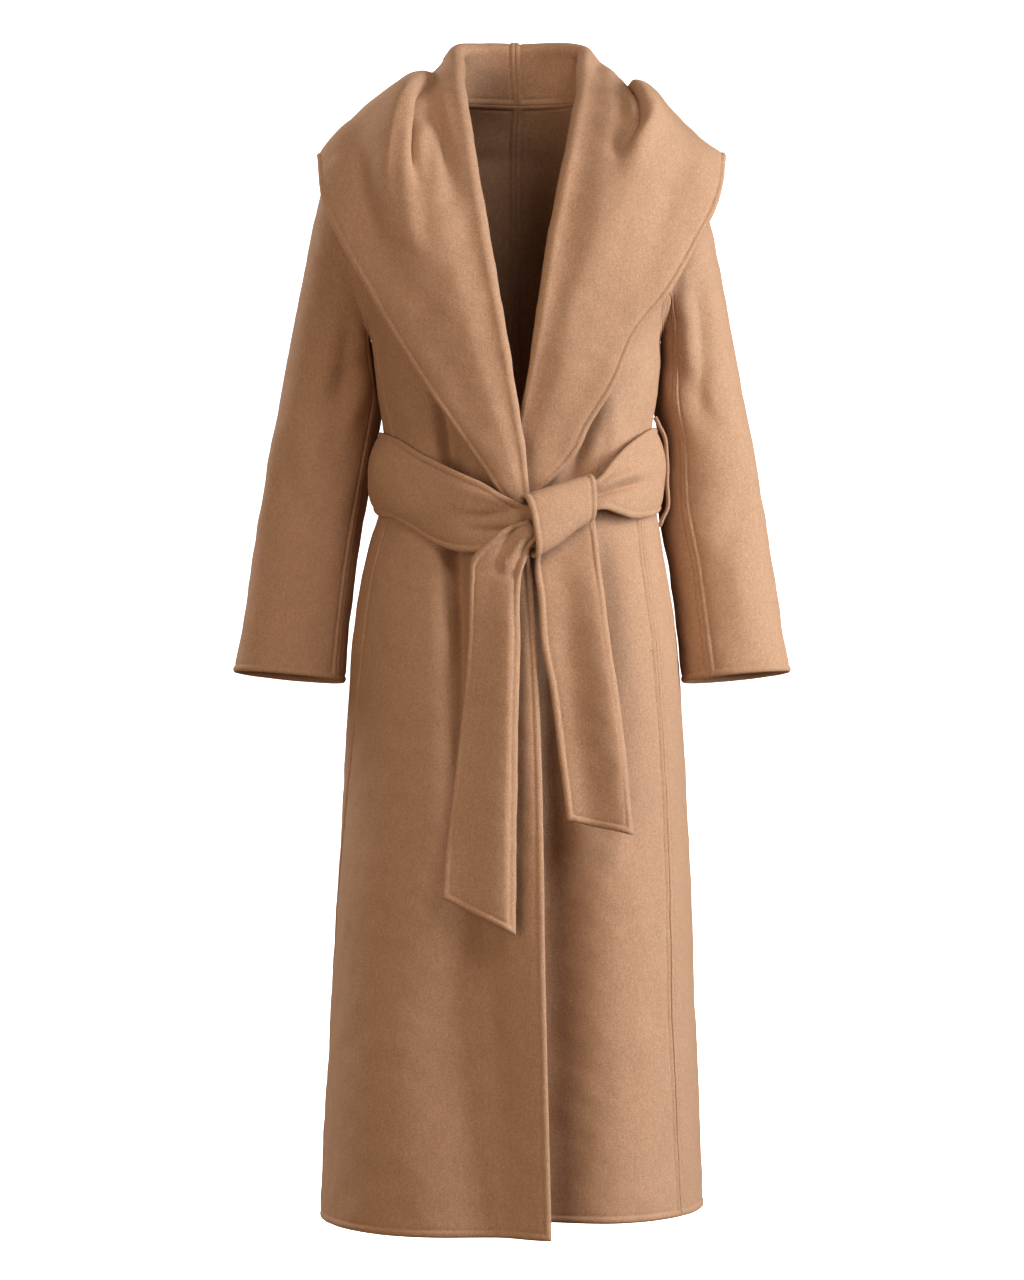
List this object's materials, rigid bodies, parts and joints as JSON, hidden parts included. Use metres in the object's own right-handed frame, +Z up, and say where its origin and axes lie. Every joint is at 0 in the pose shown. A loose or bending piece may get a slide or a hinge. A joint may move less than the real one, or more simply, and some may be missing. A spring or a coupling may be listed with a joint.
{
  "type": "wool wrap coat",
  "caption": "Long wool wrap coat with an oversized shawl collar and a tied belt, filled out as if worn, hollow, open at neck, cuffs and hem.",
  "frame": {"origin": "where the wearer holds the coat up: on the coat's middle plane, at the height where the neck meets the shoulders", "axes": "+Z up, -Y towards the coat's front, +X towards the wearer's left"},
  "size_m": [0.5906, 0.3788, 1.2481],
  "materials": {
    "wool": "camel double-faced wool, brushed, matt with a soft nap",
    "pocketing": "matt cotton twill, taupe"
  },
  "bodies": {
    "root": {"front_right": "wool", "front_left": "wool", "back_right": "wool", "back_left": "wool", "sleeve_right_upper": "wool", "sleeve_right_under": "wool", "sleeve_left_upper": "wool", "sleeve_left_under": "wool", "collar_right": "wool", "collar_left": "wool", "belt_waist": "wool", "belt_knot": "wool", "belt_tail_right": "wool", "belt_tail_left": "wool", "belt_loop_right": "wool", "belt_loop_left": "wool", "pocket_bag_right": "pocketing", "pocket_bag_left": "pocketing"}
  },
  "joints": []
}
